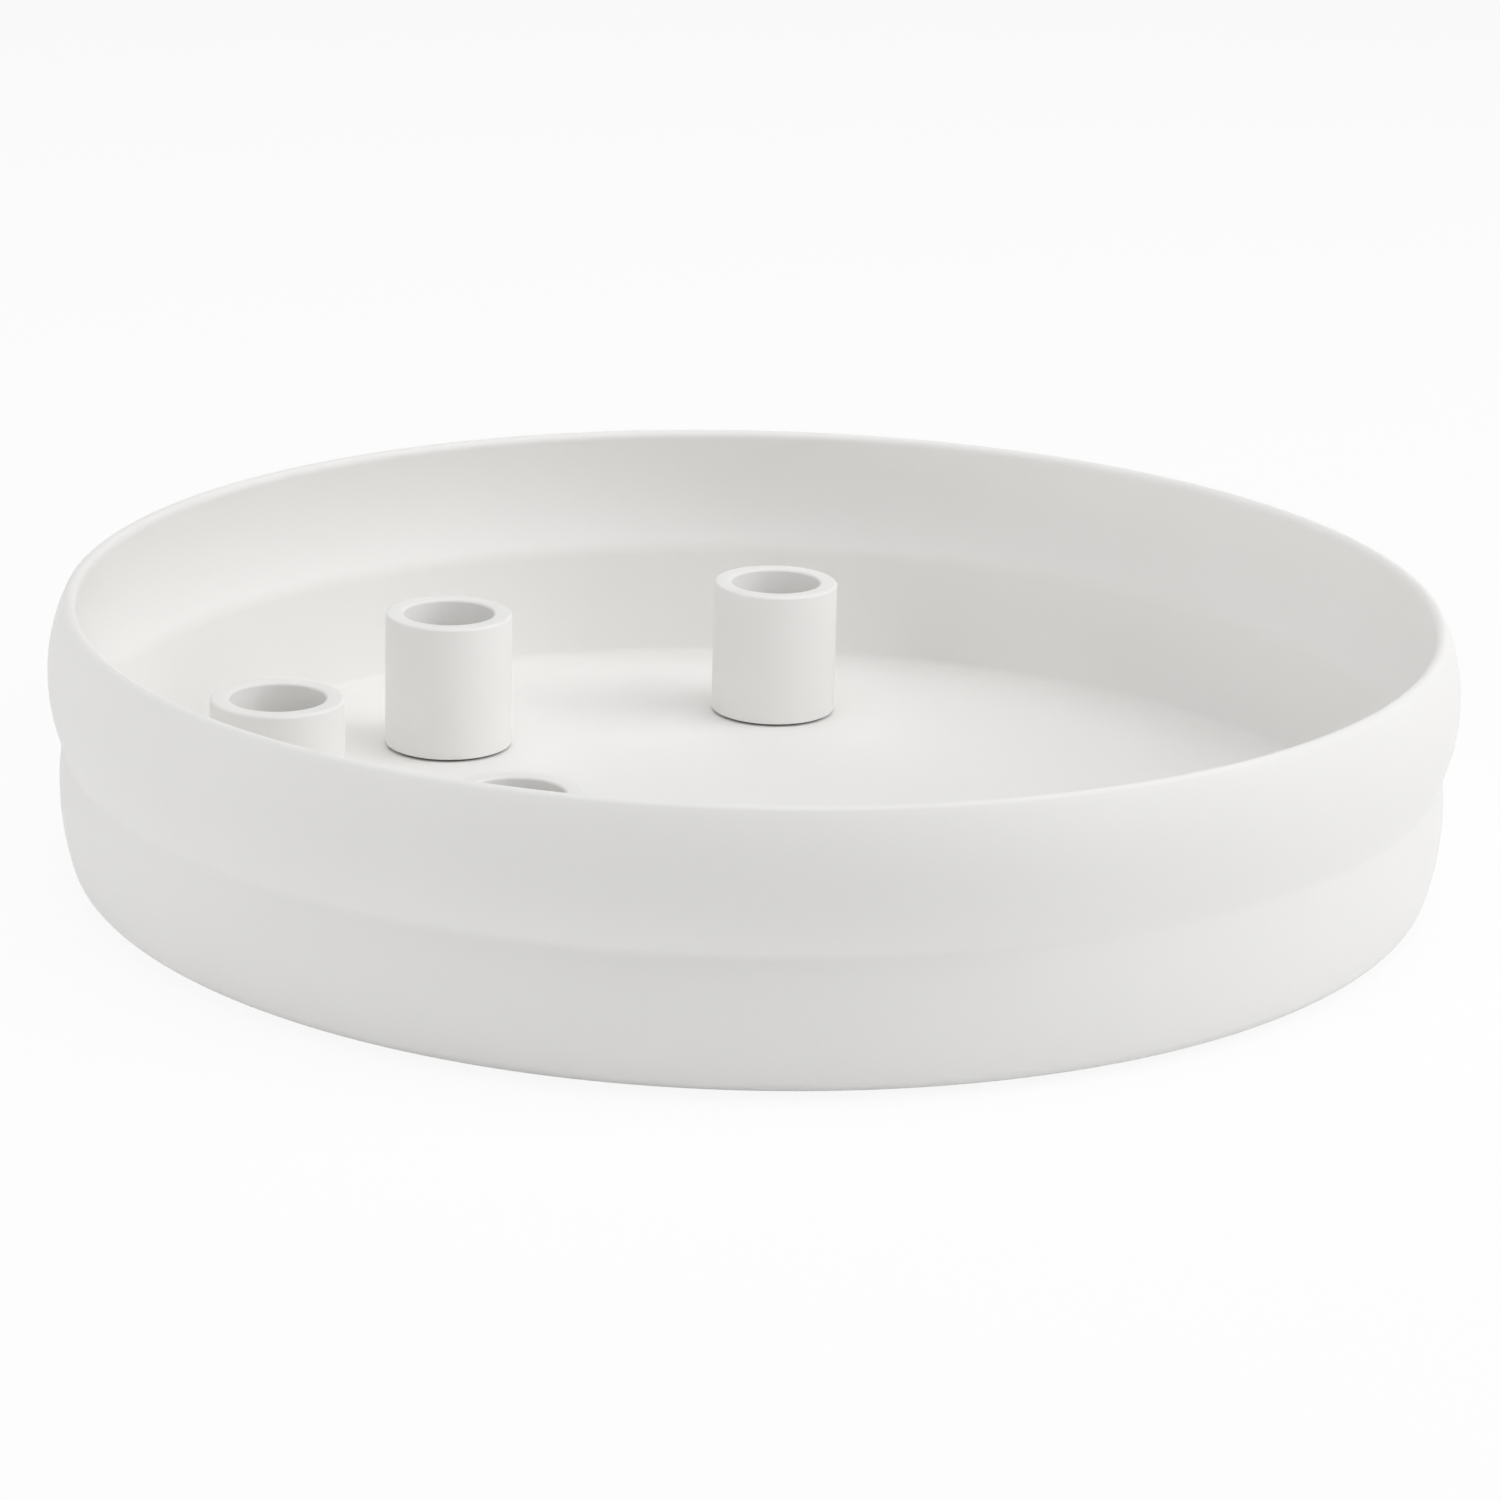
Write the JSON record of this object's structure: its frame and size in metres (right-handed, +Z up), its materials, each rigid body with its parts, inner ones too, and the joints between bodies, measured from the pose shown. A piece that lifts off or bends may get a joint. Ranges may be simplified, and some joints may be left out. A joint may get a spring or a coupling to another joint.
{
  "type": "candle plate",
  "caption": "Round white dish with a raised double-bulged wall and loose magnetic cups that each hold a standard candle.",
  "frame": {"origin": "under the centre of the dish, on the surface that its felt pads stand on", "axes": "+Z up along the dish's axis, -Y towards the viewer of the picture, +X to the viewer's right"},
  "size_m": [0.3299, 0.33, 0.0648],
  "materials": {
    "dish_paint": "matt white powder coat on spun steel",
    "cup_paint": "matt white powder coat on turned steel",
    "magnet_nickel": "bright nickel plating",
    "cup_pad_rubber": "thin dark grey rubber",
    "foot_felt": "pressed wool felt, off-white"
  },
  "bodies": {
    "plate": {"dish": "dish_paint", "foot_pad_1": "foot_felt", "foot_pad_2": "foot_felt", "foot_pad_3": "foot_felt", "foot_pad_4": "foot_felt"},
    "left_candle_cup": {"left_cup": "cup_paint", "left_magnet": "magnet_nickel", "left_cup_pad": "cup_pad_rubber"},
    "rear_left_candle_cup": {"rear_left_cup": "cup_paint", "rear_left_magnet": "magnet_nickel", "rear_left_cup_pad": "cup_pad_rubber"},
    "rear_candle_cup": {"rear_cup": "cup_paint", "rear_magnet": "magnet_nickel", "rear_cup_pad": "cup_pad_rubber"},
    "front_candle_cup": {"front_cup": "cup_paint", "front_magnet": "magnet_nickel", "front_cup_pad": "cup_pad_rubber"}
  },
  "joints": [
    {"name": "left_cup_lift", "type": "slide", "parent": "plate", "child": "left_candle_cup", "axis": [0, 0, 1], "range_m": [0, 0.085]},
    {"name": "rear_left_cup_lift", "type": "slide", "parent": "plate", "child": "rear_left_candle_cup", "axis": [0, 0, 1], "range_m": [0, 0.085]},
    {"name": "rear_cup_lift", "type": "slide", "parent": "plate", "child": "rear_candle_cup", "axis": [0, 0, 1], "range_m": [0, 0.085]},
    {"name": "front_cup_lift", "type": "slide", "parent": "plate", "child": "front_candle_cup", "axis": [0, 0, 1], "range_m": [0, 0.085]}
  ]
}
